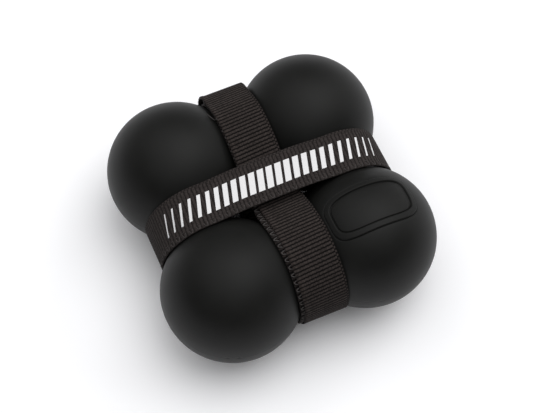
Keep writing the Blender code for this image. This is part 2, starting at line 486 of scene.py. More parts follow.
@dataclass(frozen=True)
class PrintedPath(StrapPath):
    """The printed strap winds once, over the plain one, and closes low on the right."""

    direction: Direction = Direction.ALONG_X
    root_angle: float = -22.0
    end_length: float = 0.030
    lead: float = 0.0011
    crossing_wander: float = -0.0010

    def __post_init__(self) -> None:
        """Works out where the strap starts and where its end peels off."""
        object.__setattr__(self, "root", self.far_arc(self.root_angle, turns=1))
        object.__setattr__(self, "start", self.root - self.lead - self.turn)

    def radius(self, distance: float) -> float:
        """One layer, straight above and humped over the plain strap below.

        Args:
            distance: Distance along the loop.

        Returns:
            The radius of the webbing's inner face there.
        """
        hump = (self.layer - self.pressed_in) * self.at_crossing(distance, above=False)
        closing = ramp(distance, self.root - self.patch_ramp, self.patch_ramp)
        return self.seat + hump + (self.layer + self.patches) * closing

    def wander(self, distance: float) -> float:
        """A little towards the back where it crosses above."""
        return self.crossing_wander * self.at_crossing(distance, above=True)


class Shader:
    """A material under construction: its Principled shader and the nodes that feed it."""

    def __init__(self, name: str) -> None:
        """Makes the material.

        Args:
            name: The material's name.
        """
        self.material = bpy.data.materials.new(name)
        self.material.use_nodes = True
        self.tree = self.material.node_tree
        self.surface = self.tree.nodes["Principled BSDF"]

    def node(self, kind: str, **settings: Any) -> bpy.types.Node:
        """Adds a node.

        Args:
            kind: Its type in Blender.
            settings: Its properties by name.

        Returns:
            The node.
        """
        made = self.tree.nodes.new(kind)
        for key, value in settings.items():
            setattr(made, key, value)
        return made

    def join(self, source: Any, target: Socket) -> None:
        """Feeds a socket from another, or sets it to a constant.

        Args:
            source: A socket, a number or a colour.
            target: The socket that is fed.
        """
        if isinstance(source, bpy.types.NodeSocket):
            self.tree.links.new(source, target)
        else:
            target.default_value = source

    def constant(self, **values: float | Colour) -> None:
        """Sets sockets of the Principled shader to constants.

        Args:
            values: The constants by the socket's name, with _ for a space.
        """
        for key, value in values.items():
            socket = self.surface.inputs[key.replace("_", " ").title().replace("Ior", "IOR")]
            socket.default_value = (*value, 1.0) if isinstance(value, tuple) else value

    def feed(self, name: str, source: Socket) -> None:
        """Feeds a socket of the Principled shader."""
        self.join(source, self.surface.inputs[name])

    def place(self) -> Socket:
        """The point in the object's own axes, in metres."""
        return self.node("ShaderNodeTexCoord").outputs["Object"]

    def proud(self) -> Socket:
        """How proud the weave stands, from 0 in a groove to 1 on a crest, as the mesh holds it."""
        return self.node("ShaderNodeAttribute", attribute_name=PROUD).outputs["Fac"]

    def noise(self, size: float, detail: float = 2.0) -> Socket:
        """Noise from 0 to 1 in the object's own axes.

        Args:
            size: Size of its largest grains in metres.
            detail: How many finer octaves it has.

        Returns:
            The factor's socket.
        """
        made = self.node("ShaderNodeTexNoise")
        made.inputs["Scale"].default_value = 1.0 / size
        made.inputs["Detail"].default_value = detail
        self.join(self.place(), made.inputs["Vector"])
        return made.outputs["Fac"]

    def math(self, operation: str, first: Any, second: Any = 0.0, clamp: bool = False) -> Socket:
        """One arithmetic step.

        Args:
            operation: Its name in Blender.
            first: A socket or a number.
            second: A socket or a number.
            clamp: Whether the result is kept between 0 and 1.

        Returns:
            The result's socket.
        """
        made = self.node("ShaderNodeMath", operation=operation, use_clamp=clamp)
        self.join(first, made.inputs[0])
        self.join(second, made.inputs[1])
        return made.outputs[0]

    def spread(self, source: Socket, low: float, high: float, to_low: float, to_high: float) -> Socket:
        """Maps one range onto another, clamped.

        Args:
            source: The value that is mapped.
            low: Start of its range.
            high: End of its range.
            to_low: What low becomes.
            to_high: What high becomes.

        Returns:
            The result's socket.
        """
        made = self.node("ShaderNodeMapRange")
        for name, value in zip(("From Min", "From Max", "To Min", "To Max"), (low, high, to_low, to_high)):
            made.inputs[name].default_value = value
        self.join(source, made.inputs["Value"])
        return made.outputs["Result"]

    def mix(self, factor: Socket, low: Colour | Socket, high: Colour | Socket) -> Socket:
        """A colour between two.

        Args:
            factor: A factor from 0 to 1.
            low: The colour at 0.
            high: The colour at 1.

        Returns:
            The result's socket.
        """
        made = self.node("ShaderNodeMix", data_type="RGBA")
        self.join(factor, made.inputs[0])
        for source, target in ((low, made.inputs[6]), (high, made.inputs[7])):
            self.join((*source, 1.0) if isinstance(source, tuple) else source, target)
        return made.outputs[2]

    def uneven(self, noise: Socket, low: float = 0.0, high: float = 1.0) -> Socket:
        """Stretches a noise's usual range onto low to high."""
        return self.spread(noise, *NOISE_SPAN, low, high)

    def bump(self, height: Socket, depth: float) -> None:
        """Roughens the surface.

        Args:
            height: A height from 0 to 1.
            depth: What a height of 1 stands for in metres.
        """
        made = self.node("ShaderNodeBump")
        made.inputs["Strength"].default_value = 1.0
        made.inputs["Distance"].default_value = depth
        self.join(height, made.inputs["Height"])
        self.feed("Normal", made.outputs["Normal"])


@dataclass(frozen=True)
class RubberFinish:
    """Matt moulded rubber with a fine grain and faint mottling."""

    name: str
    dark: Colour
    pale: Colour
    roughness: tuple[float, float]
    specular: float
    grain: float = 0.00045
    mottle: float = 0.012
    grain_depth: float = 0.000012

    def material(self) -> bpy.types.Material:
        """Makes the rubber.

        Returns:
            Its material.
        """
        shader = Shader(self.name)
        mottle = shader.noise(self.mottle, 3.0)
        grain = shader.noise(self.grain, 2.0)
        shader.feed("Base Color", shader.mix(shader.uneven(mottle), self.dark, self.pale))
        shader.feed("Roughness", shader.uneven(mottle, *self.roughness))
        shader.constant(specular_ior_level=self.specular)
        shader.bump(grain, self.grain_depth)
        return shader.material


@dataclass(frozen=True)
class WebbingFinish:
    """Ribbed webbing: pale beads, grooves darkened with painted shade, and uneven fibres."""

    name: str
    rib: Colour
    # groove is a painted shade colour for the grooves, the sunk places and the cut sides.
    groove: Colour
    fibre: float = 0.0010
    fibre_depth: float = 0.00009
    fibre_shade: tuple[float, float] = (0.45, 1.3)
    patch: float = 0.009
    patch_shade: tuple[float, float] = (0.9, 1.08)
    roughness: float = 0.85
    sheen: float = 0.03
    sheen_roughness: float = 0.45
    lit_crest: tuple[float, float] = (0.50, 0.97)
    specular: float = 0.12

    def material(self) -> bpy.types.Material:
        """Makes the webbing.

        Returns:
            Its material.
        """
        shader = Shader(self.name)
        proud = shader.proud()
        fibre = shader.noise(self.fibre, 3.0)
        patch = shader.noise(self.patch, 2.0)
        # Painted shade: the colour falls from rib to groove where the weave lies low, in grooves, on sunk
        # bead sides and under the chain.
        shade = shader.spread(proud, *self.lit_crest, 0.0, 1.0)
        shade = shader.math("MULTIPLY", shade, shader.uneven(fibre, *self.fibre_shade))
        shade = shader.math("MULTIPLY", shade, shader.uneven(patch, *self.patch_shade), clamp=True)
        shader.feed("Base Color", shader.mix(shade, self.groove, self.rib))
        shader.constant(roughness=self.roughness, specular_ior_level=self.specular)
        shader.constant(sheen_weight=self.sheen, sheen_roughness=self.sheen_roughness)
        shader.bump(fibre, self.fibre_depth)
        return shader.material


@dataclass(frozen=True)
class FibreFinish:
    """Yarn, thread, hooks or pile: thin fibres whose colour varies a little."""

    name: str
    dark: Colour
    pale: Colour
    roughness: float
    sheen: float = 0.0
    sheen_roughness: float = 0.5
    specular: float = 0.3
    grain: float = 0.0004
    grain_depth: float = 0.00002

    def material(self) -> bpy.types.Material:
        """Makes the fibre.

        Returns:
            Its material.
        """
        shader = Shader(self.name)
        grain = shader.noise(self.grain, 2.0)
        shader.feed("Base Color", shader.mix(shader.uneven(grain), self.dark, self.pale))
        shader.constant(roughness=self.roughness, specular_ior_level=self.specular)
        shader.constant(sheen_weight=self.sheen, sheen_roughness=self.sheen_roughness)
        shader.bump(grain, self.grain_depth)
        return shader.material


@dataclass(frozen=True)
class InkFinish:
    """White screen print, thinner in the grooves between the ribs, where its greyer colour is partly thin
    ink and partly painted shade.
    """

    name: str
    full: Colour
    thin: Colour
    grain: float = 0.0005
    grain_depth: float = 0.00002
    wear: tuple[float, float] = (-0.12, 0.1)
    groove_cover: float = 0.5
    covered_from: float = 0.7
    roughness: float = 0.55
    specular: float = 0.3

    def material(self) -> bpy.types.Material:
        """Makes the print.

        Returns:
            Its material.
        """
        shader = Shader(self.name)
        proud = shader.proud()
        worn = shader.noise(self.grain, 3.0)
        wear = shader.uneven(worn, *self.wear)
        # Greyer in the grooves: partly thin ink, partly painted shade.
        cover = shader.spread(proud, 0.0, self.covered_from, self.groove_cover, 1.0)
        cover = shader.math("ADD", cover, wear, clamp=True)
        shader.feed("Base Color", shader.mix(cover, self.thin, self.full))
        shader.constant(roughness=self.roughness, specular_ior_level=self.specular)
        shader.bump(worn, self.grain_depth)
        return shader.material


@dataclass(frozen=True)
class Tube:
    """A thin round yarn swept along points."""

    points: Sequence[Vector]
    radius: float
    sides: int = 5

    def add_to(self, bm: bmesh.types.BMesh) -> None:
        """Adds the closed tube to a mesh.

        Args:
            bm: The mesh.
        """
        rings = []
        points = list(self.points)
        for i, point in enumerate(points):
            heading = (points[min(i + 1, len(points) - 1)] - points[max(i - 1, 0)]).normalized()
            across = heading.orthogonal() if not rings else previous - heading * previous.dot(heading)
            previous = across.normalized()
            over = heading.cross(previous)
            corners = []
            for k in range(self.sides):
                angle = math.tau * k / self.sides
                offset = previous * math.cos(angle) + over * math.sin(angle)
                corners.append(bm.verts.new(point + offset * self.radius))
            rings.append(corners)
        for low, high in zip(rings, rings[1:]):
            for k in range(self.sides):
                following = (k + 1) % self.sides
                bm.faces.new((low[k], low[following], high[following], high[k]))
        bm.faces.new(list(reversed(rings[0])))
        bm.faces.new(rings[-1])


def add_object(name: str, mesh: bpy.types.Mesh, material: bpy.types.Material) -> bpy.types.Object:
    """Puts a mesh in the scene.

    Args:
        name: The object's name.
        mesh: Its mesh.
        material: Its finish.

    Returns:
        The object.
    """
    mesh.materials.append(material)
    thing = bpy.data.objects.new(name, mesh)
    bpy.context.scene.collection.objects.link(thing)
    return thing


def mesh_of(name: str, bm: bmesh.types.BMesh, crease: float) -> bpy.types.Mesh:
    """Turns a bmesh into a smooth mesh.

    Args:
        name: The mesh's name.
        bm: The bmesh, which is used up.
        crease: The angle in degrees from which an edge stays sharp.

    Returns:
        The mesh.
    """
    mesh = bpy.data.meshes.new(name)
    bmesh.ops.recalc_face_normals(bm, faces=bm.faces)
    bm.to_mesh(mesh)
    bm.free()
    mesh.shade_smooth()
    mesh.set_sharp_from_angle(angle=math.radians(crease))
    return mesh


def tubes_object(name: str, tubes: Iterable[Tube], material: bpy.types.Material) -> bpy.types.Object:
    """One object from many thin tubes.

    Args:
        name: The object's name.
        tubes: The tubes.
        material: Their finish.

    Returns:
        The object.
    """
    bm = bmesh.new()
    for tube in tubes:
        tube.add_to(bm)
    return add_object(name, mesh_of(name, bm, YARN_CREASE), material)


class Place(NamedTuple):
    """A place across the webbing's face."""

    toward: float
    shift: float
    depth: float
    # sunk lowers a place and also darkens its colour, as painted shade.
    sunk: float = 0.0


@dataclass(frozen=True)
class Weave:
    """The build of the webbing: ribs of beads, a knit edge, a plain selvedge and its cut ends."""

    rib_pitch: float = 0.00205
    rib_depth: float = 0.00036
    skew: float = 0.0006
    skew_fade: float = 0.010
    bead_width: float = 0.00115
    bead_shift: float = 0.03
    # The sunk amounts lower bead sides, the knit band under the chain and the selvedge columns, and darken
    # their colour with painted shade.
    bead_sunk: float = 0.00004
    knit_side: Side = Side.LOW
    knit_width: float = 0.0027
    knit_share: float = 0.9
    knit_sunk: float = 0.00008
    column_width: float = 0.00105
    columns: int = 1
    column_shift: float = 0.5
    column_sunk: float = 0.00010
    column_gap: float = 0.00006
    edge_round: float = 0.00012
    side_bevel: float = 0.35
    # side_proud sets the cut sides' colour part way to the groove colour: painted shade on the sides.
    side_proud: float = 0.8
    sealed_length: float = 0.0006
    sealed_share: float = 0.55
    samples: tuple[float, ...] = (0.04, 0.12, 0.28, 0.46, 0.54, 0.72, 0.88, 0.96)
    least_step: float = 0.03
    measures: int = 4
    behind_shares: tuple[float, ...] = (1.0, 0.6, 0.2, -0.2, -0.6, -1.0)

    def crest(self, length: float, shift: float = 0.0) -> float:
        """Height of a rib's arch, 0 in a groove and 1 on its crest."""
        t = (length / self.rib_pitch + shift) % 1.0
        return math.sqrt(max(0.0, 1.0 - (2.0 * t - 1.0) ** 2))

    def stations(self, start: float, end: float) -> list[float]:
        """Lengths of the cross-sections.

        Args:
            start: Length at one end.
            end: Length at the other.

        Returns:
            Both ends and the samples of each rib between them.
        """
        first = math.floor(start / self.rib_pitch)
        last = math.ceil(end / self.rib_pitch)
        places = [(rib + t) * self.rib_pitch for rib in range(first, last) for t in self.samples]
        spare = self.rib_pitch * self.least_step
        return [start] + [d for d in places if start + spare < d < end - spare] + [end]

    def beads(
        self, low: float, high: float, width: float, shifts: tuple[float, float], sunk: float
    ) -> list[Place]:
        """Columns of beads side by side.

        Args:
            low: Where the first column starts.
            high: Where the last one ends.
            width: About how wide a column is.
            shifts: How far every other column is shifted along, in ribs.
            sunk: How much lower a bead's sides are than its middle.

        Returns:
            Three places across each column.
        """
        count = max(1, round((high - low) / width))
        step = (high - low) / count
        made = []
        for column in range(count):
            near = low + column * step
            shift = shifts[column % 2]
            made.append(Place(near + self.column_gap, shift, self.rib_depth, sunk))
            made.append(Place(near + step / 2, shift, self.rib_depth))
            made.append(Place(near + step - self.column_gap, shift, self.rib_depth, sunk))
        return made

    def across(self, half: float) -> list[Place]:
        """Places across the outer face, from the knit edge to the selvedge.

        Args:
            half: Half the webbing's width.

        Returns:
            The places.
        """
        knit_depth = self.rib_depth * self.knit_share
        inner = -half + self.knit_width
        outer = half - self.edge_round
        selvedge = outer - self.columns * self.column_width
        edge = [
            Place(-half + self.edge_round, 0.0, knit_depth, self.knit_sunk),
            Place(inner - self.column_gap, 0.0, knit_depth, self.knit_sunk),
        ]
        by_turns = (self.bead_shift, -self.bead_shift)
        field = self.beads(inner, selvedge, self.bead_width, by_turns, self.bead_sunk)
        by_turns = (self.column_shift, 0.0)
        return edge + field + self.beads(selvedge, outer, self.column_width, by_turns, self.column_sunk)

    def skewed(self, length: float, toward: float, half: float, first: float, last: float) -> float:
        """Length at which a rib lies off the middle, as ribs aren't quite square to the webbing.

        Args:
            length: Length at the middle.
            toward: The place across, towards the selvedge.
            half: Half the webbing's width.
            first: Length at the webbing's start, where the cut is square.
            last: Length at its end.

        Returns:
            The length there.
        """
        inside = min(length - first, last - length)
        return length + self.skew * toward / half * ramp(inside, 0.0, self.skew_fade)

    def behind(self, half: float) -> list[Place]:
        """A few places across the inner face, from the selvedge to the knit edge."""
        edge = half - self.edge_round
        return [Place(edge * share, 0.0, self.rib_depth) for share in self.behind_shares]


@dataclass
class Webbing:
    """A length of webbing laid along a ribbon between two distances along its loop."""

    name: str
    ribbon: Ribbon
    weave: Weave
    thickness: float
    start: float
    end: float
    sealed: tuple[bool, bool]
    first_length: float = 0.0
    knit_until: float = math.inf

    def __post_init__(self) -> None:
        """Measures its middle line, so that its ribs keep their pitch round bends."""
        steps = max(2, round((self.end - self.start) / (self.weave.rib_pitch / self.weave.measures)))
        self.distances = np.linspace(self.start, self.end, steps + 1)
        line = [self.ribbon.section(distance).at(0.0, self.thickness / 2) for distance in self.distances]
        runs = [(far - near).length for near, far in zip(line, line[1:])]
        self.lengths = self.first_length + np.concatenate(([0.0], np.cumsum(runs)))
        self.knit_length = self.length_at(min(self.knit_until, self.end))

    @property
    def laid_length(self) -> float:
        """Length of its middle line as it lies."""
        return float(self.lengths[-1] - self.lengths[0])

    def length_at(self, distance: float) -> float:
        """Length laid out up to a distance along the loop."""
        return float(np.interp(distance, self.distances, self.lengths))

    def distance_at(self, length: float) -> float:
        """Distance along the loop at a length laid out."""
        return float(np.interp(length, self.lengths, self.distances))

    def rib_phase(self, length: float, sideways: float) -> float:
        """Length at the middle of the rib that lies at a place.

        Args:
            length: Length laid out up to the place.
            sideways: The place across.

        Returns:
            The length at which that rib crosses the middle.
        """
        half = self.ribbon.width / 2
        toward = -self.weave.knit_side.value * sideways
        skewed = self.weave.skewed(length, toward, half, float(self.lengths[0]), float(self.lengths[-1]))
        return 2.0 * length - skewed

    def bridged(self, length: float, sideways: float, share: float) -> float:
        """Height of a film that bridges the grooves between ribs, dipping by a share of them."""
        crest = self.weave.crest(self.rib_phase(length, sideways))
        return self.thickness - share * self.weave.rib_depth * (1.0 - crest)

    def seal(self, length: float) -> float:
        """How much thinner the webbing is where an end is sealed by heat.

        Args:
            length: Length laid out up to a place.

        Returns:
            The share of the full thickness there.
        """
        reach = self.weave.sealed_length
        low = self.weave.sealed_share
        share = 1.0
        if self.sealed[0]:
            share = min(share, low + (1.0 - low) * ramp(length, self.lengths[0], reach))
        if self.sealed[1]:
            share = min(share, 1.0 - (1.0 - low) * ramp(length, self.lengths[-1] - reach, reach))
        return share

    def ring(self, length: float) -> list[tuple[float, float, float]]:
        """Corners of one cross-section, all round.

        Args:
            length: Length laid out up to it.

        Returns:
            For each corner, its place sideways, its height and how proud it stands, from 0 to 1, which sets
            its painted shade.
        """
        half = self.ribbon.width / 2
        weave = self.weave

        def rise(place: Place) -> float:
            """How proud the weave stands at a place.

            Args:
                place: The place across the face.

            Returns:
                From 0 in a groove to 1 on a bead.
            """
            # Under the chain the knit band is sunk and darkened with painted shade; past the chain it is
            # left as proud as the crests.
            knit = place.toward <= -half + weave.knit_width
            low = 0.0 if knit and length > self.knit_length else place.sunk / weave.rib_depth
            return max(0.0, weave.crest(length, place.shift) - low)

        low_bevel = self.thickness * weave.side_bevel
        high_bevel = self.thickness * (1.0 - weave.side_bevel)
        corners = [(-half, low_bevel, weave.side_proud), (-half, high_bevel, weave.side_proud)]
        for place in weave.across(half):
            proud = rise(place)
            corners.append((place.toward, self.thickness - place.depth * (1.0 - proud), proud))
        corners += [(half, high_bevel, weave.side_proud), (half, low_bevel, weave.side_proud)]
        for place in weave.behind(half):
            proud = rise(place)
            corners.append((place.toward, place.depth * (1.0 - proud), proud))
        middle, seal = self.thickness / 2, self.seal(length)
        sign = -weave.knit_side.value
        return [
            (sign * toward, middle + (height - middle) * seal, proud) for toward, height, proud in corners
        ]

    def build(self, material: bpy.types.Material) -> bpy.types.Object:
        """Builds the webbing.

        Args:
            material: Its finish.

        Returns:
            The webbing's object.
        """
        first, last = float(self.lengths[0]), float(self.lengths[-1])
        stations = self.weave.stations(first, last)
        half = self.ribbon.width / 2
        points, heights = [], []
        for length in stations:
            for sideways, height, proud in self.ring(length):
                toward = -self.weave.knit_side.value * sideways
                skewed = self.weave.skewed(length, toward, half, first, last)
                points.append(self.ribbon.section(self.distance_at(skewed)).at(sideways, height))
                heights.append(proud)
        size = len(points) // len(stations)
        faces = []
        for row in range(len(stations) - 1):
            base = row * size
            for k in range(size):
                following = (k + 1) % size
                faces.append((base + k, base + following, base + size + following, base + size + k))
        faces.append(tuple(range(size - 1, -1, -1)))
        faces.append(tuple(range(len(points) - size, len(points))))
        mesh = bpy.data.meshes.new(self.name)
        mesh.from_pydata(points, [], faces)
        attribute = mesh.attributes.new(PROUD, "FLOAT", "POINT")
        attribute.data.foreach_set("value", heights)
        bm = bmesh.new()
        bm.from_mesh(mesh)
        bmesh.ops.recalc_face_normals(bm, faces=bm.faces)
        bm.to_mesh(mesh)
        bm.free()
        mesh.shade_smooth()
        mesh.set_sharp_from_angle(angle=math.radians(WEAVE_CREASE))
        return add_object(self.name, mesh, material)


@dataclass(frozen=True)
class KnitChain:
    """The chain of weft loops that shows on the knit edge, one link for every two ribs.

    A link is an arch that opens inward. Its steps are given as shares of the link's length and of
    the band's width, from the webbing's edge inward, and its height above the webbing in radii.
    The steps of a float are a share of its length and its height above the webbing in radii.
    """

    radius: float = 0.00031
    ribs: int = 2
    steps: tuple[tuple[float, float, float], ...] = (
        (0.08, 1.02, -1.8),
        (0.18, 1.00, -0.8),
        (0.26, 0.80, 0.3),
        (0.31, 0.48, 0.6),
        (0.38, 0.22, 0.5),
        (0.50, 0.13, 0.3),
        (0.62, 0.22, 0.5),
        (0.69, 0.48, 0.6),
        (0.74, 0.80, 0.3),
        (0.82, 1.00, -0.8),
        (0.92, 1.02, -1.8),
    )
    lift: float = 0.0
    wobble: float = 0.05
    slack: float = 0.3
    float_length: float = 0.0
    float_inward: float = 0.0032
    float_radius: float = 0.00013
    float_steps: tuple[tuple[float, float], ...] = (
        (-0.5, -1.5),
        (-0.36, 0.3),
        (0.0, 0.6),
        (0.36, 0.3),
        (0.5, -1.5),
    )
    float_drift: float = 0.08
    float_wander: float = 0.0002

    def floats(self, webbing: Webbing, end: float) -> list[Tube]:
        """Short floats of pale yarn beside the chain, one for each link.

        Args:
            webbing: The webbing whose edge they run along.
            end: Distance along the loop where they end.

        Returns:
            The floats, or none where their length is 0.
        """
        if self.float_length <= 0.0:
            return []
        dice = random.Random(f"{webbing.name} floats")
        pitch = self.ribs * webbing.weave.rib_pitch
        made = []
        first = math.ceil(webbing.lengths[0] / pitch)
        for link in range(first, math.floor(webbing.length_at(end) / pitch)):
            middle = (link + 0.5 + dice.uniform(-self.float_drift, self.float_drift)) * pitch
            inward = self.float_inward + dice.uniform(-self.float_wander, self.float_wander)
            sideways = webbing.weave.knit_side.value * (webbing.ribbon.width / 2 - inward)
            points = []
            for share, lift in self.float_steps:
                section = webbing.ribbon.section(webbing.distance_at(middle + share * self.float_length))
                points.append(section.at(sideways, webbing.thickness + lift * self.float_radius))
            made.append(Tube(points, self.float_radius))
        return made

    def tube(self, webbing: Webbing, end: float) -> Tube:
        """The chain's yarn.

        Args:
            webbing: The webbing whose edge it runs along.
            end: Distance along the loop where it ends.

        Returns:
            The yarn.
        """
        dice = random.Random(webbing.name)
        weave = webbing.weave
        pitch = self.ribs * weave.rib_pitch
        points = []
        first = math.ceil(webbing.lengths[0] / pitch)
        for link in range(first, math.floor(webbing.length_at(end) / pitch)):
            for share, inward, lift in self.steps:
                share += dice.uniform(-self.slack, self.slack) * self.wobble
                inward += dice.uniform(-1.0, 1.0) * self.wobble
                toward = webbing.ribbon.width / 2 - inward * weave.knit_width
                section = webbing.ribbon.section(webbing.distance_at((link + share) * pitch))
                height = webbing.thickness + (lift + self.lift) * self.radius
                points.append(section.at(weave.knit_side.value * toward, height))
        return Tube(points, self.radius)


@dataclass(frozen=True)
class LooseThread:
    """An end of edge yarn that has come loose and lies beside a strap, on the ball there.

    Its steps are given as the distance past the middle of the top, the place sideways and the
    height above what lies under it.
    """

    path: StrapPath
    radius: float = 0.00021
    steps: tuple[tuple[float, float, float], ...] = (
        (0.0436, -0.0118, -0.0004),
        (0.0440, -0.0124, 0.0001),
        (0.0445, -0.0131, 0.0004),
        (0.0455, -0.0140, 0.0006),
        (0.0468, -0.0149, 0.0006),
        (0.0480, -0.0157, 0.0009),
    )

    def build(self, name: str, material: bpy.types.Material) -> bpy.types.Object:
        """Builds the thread.

        Args:
            name: Its object's name.
            material: Its finish.

        Returns:
            The thread's object.
        """
        path = self.path
        points = []
        for past, sideways, height in self.steps:
            distance = path.top_middle + path.turn + past
            section = path.webbing().section(distance)
            under = path.square.seat_radius(sideways, section.u)
            if abs(sideways) < path.width / 2:
                under = max(under, section.reach[0] + path.thickness)
            across = under + height + self.radius
            along, above = (part * across for part in section.out)
            points.append(path.direction.place(section.u + along, sideways, path.square.level + above))
        return tubes_object(name, [Tube(points, self.radius)], material)


@dataclass
class Stitching:
    """A row of stitches round a patch, sewn through what it lies on."""

    name: str
    ribbon: Ribbon
    span: tuple[float, float]
    height: float
    inset: float = 0.0013
    length: float = 0.0021
    pitch: float = 0.0029
    radius: float = 0.00016
    sunk: float = 0.0003
    crown: float = 0.6
    straight: float = 0.7

    def run(self, first: tuple[float, float], last: tuple[float, float]) -> list[Tube]:
        """Stitches along one side of the patch.

        Args:
            first: Where the side starts, as (distance, sideways).
            last: Where it ends.

        Returns:
            The stitches.
        """
        whole = math.dist(first, last)
        count = max(1, round(whole / self.pitch))
        reach = self.length / 2 / whole
        crown = self.radius * self.crown
        half = [(1.0, -self.sunk), (self.straight, 0.0)]
        arch = [(-share, lift) for share, lift in half] + [(0.0, crown)] + half[::-1]
        tubes = []
        for i in range(count):
            centre = (i + 0.5) / count
            points = []
            for share, lift in arch:
                t = centre + reach * share
                distance = first[0] + (last[0] - first[0]) * t
                sideways = first[1] + (last[1] - first[1]) * t
                points.append(self.ribbon.section(distance).at(sideways, self.height + lift))
            tubes.append(Tube(points, self.radius))
        return tubes

    def build(self, material: bpy.types.Material) -> bpy.types.Object:
        """Builds the stitches round the patch's four sides.

        Args:
            material: Their finish.

        Returns:
            The stitches' object.
        """
        half = self.ribbon.path.patch_width / 2 - self.inset
        low, high = self.span[0] + self.inset, self.span[1] - self.inset
        corners = [(low, -half), (high, -half), (high, half), (low, half)]
        tubes = [tube for a, b in zip(corners, corners[1:] + corners[:1]) for tube in self.run(a, b)]
        return tubes_object(self.name, tubes, material)


@dataclass
class ClosureTape:
    """One half of a hook-and-loop closure: a woven backing and its hooks or pile.

    The steps of a hook or a loop are how far it leans in metres, and its height as a share of the
    way from the backing to the tape's other face.
    """

    name: str
    kind: Tape
    ribbon: Ribbon
    span: tuple[float, float]
    thickness: float
    backing: float = 0.00045
    pitch: float = 0.00135
    margin: float = 0.0009
    strand: float = 0.00009
    strand_sides: int = 4
    edge_share: float = 0.3
    scatter: float = 0.4
    hook_steps: tuple[tuple[float, float], ...] = (
        (0.0, 0.0),
        (0.0, 0.55),
        (0.0001, 0.8),
        (0.00028, 0.88),
        (0.00042, 0.7),
    )
    loop_steps: tuple[tuple[float, float], ...] = (
        (-0.00035, 0.0),
        (-0.00045, 0.5),
        (0.0, 1.0),
        (0.00045, 0.5),
        (0.0003, 0.0),
    )

    def backing_slab(self, bm: bmesh.types.BMesh) -> None:
        """Adds the backing, a thin strip with rounded edges.

        Args:
            bm: The mesh.
        """
        half = self.ribbon.width / 2
        low = self.thickness - self.backing if self.kind is Tape.HOOKS else 0.0
        high = low + self.backing
        edge = self.backing * self.edge_share
        corners = [
            (-half, low + edge), (-half, high - edge), (-half + edge, high), (half - edge, high),
            (half, high - edge), (half, low + edge), (half - edge, low), (-half + edge, low),
        ]
        steps = max(2, round((self.span[1] - self.span[0]) / self.pitch))
        rings = []
        for i in range(steps + 1):
            section = self.ribbon.section(self.span[0] + (self.span[1] - self.span[0]) * i / steps)
            rings.append([bm.verts.new(section.at(*corner)) for corner in corners])
        for near, far in zip(rings, rings[1:]):
            for k in range(len(corners)):
                following = (k + 1) % len(corners)
                bm.faces.new((near[k], near[following], far[following], far[k]))
        bm.faces.new(list(reversed(rings[0])))
        bm.faces.new(rings[-1])

    def strand_shape(self, turn: float) -> list[tuple[float, float, float]]:
        """One hook or loop as (along, across, height) from its foot.

        Args:
            turn: The way it faces, in radians.

        Returns:
            Its points.
        """
        if self.kind is Tape.HOOKS:
            foot, top, steps = self.thickness - self.backing, 0.0, self.hook_steps
        else:
            foot, top, steps = self.backing, self.thickness, self.loop_steps
        return [
            (reach * math.cos(turn), reach * math.sin(turn), foot + (top - foot) * share)
            for reach, share in steps
        ]

    def strands(self) -> list[Tube]:
        """All hooks in rows, or all pile loops strewn and turned at random.

        Returns:
            The strands.
        """
        dice = random.Random(self.name)
        half = self.ribbon.width / 2 - self.margin
        rows = int((self.span[1] - self.span[0] - 2 * self.margin) / self.pitch)
        columns = int(2 * half / self.pitch)
        tubes = []
        for row in range(rows + 1):
            for column in range(columns + 1):
                along = self.span[0] + self.margin + row * self.pitch
                sideways = -half + 2 * half * column / columns
                turn = math.pi * (column % 2)
                if self.kind is Tape.PILE:
                    along += dice.uniform(-self.scatter, self.scatter) * self.pitch
                    sideways += dice.uniform(-self.scatter, self.scatter) * self.pitch
                    turn = dice.uniform(0.0, math.pi)
                points = []
                for forward, across, height in self.strand_shape(turn):
                    section = self.ribbon.section(along + forward)
                    points.append(section.at(sideways + across, height))
                tubes.append(Tube(points, self.strand, self.strand_sides))
        return tubes

    def build(self, material: bpy.types.Material) -> bpy.types.Object:
        """Builds the tape.

        Args:
            material: Its finish.

        Returns:
            The tape's object.
        """
        bm = bmesh.new()
        self.backing_slab(bm)
        for tube in self.strands():
            tube.add_to(bm)
        return add_object(self.name, mesh_of(self.name, bm, TAPE_CREASE), material)


@dataclass(frozen=True)
class BarPattern:
    """A plain row of slanted bars, boldest in the middle and finest at both ends."""

    reach: float = 0.0610
    count: int = 25
    height: float = 0.0124
    slant: float = 0.30
    bold: float = 0.0036
    fine: float = 0.0007
    taper: float = 1.2

    def bars(self) -> list[tuple[float, float]]:
        """Lays the bars out.

        Returns:
            Each bar's place along the strap from the middle of the top, and its breadth.
        """
        made = []
        for i in range(self.count):
            place = -1.0 + 2.0 * i / (self.count - 1)
            share = math.cos(place * math.pi / 2) ** self.taper if abs(place) < 1.0 else 0.0
            made.append((place * self.reach, self.fine + (self.bold - self.fine) * share))
        return made


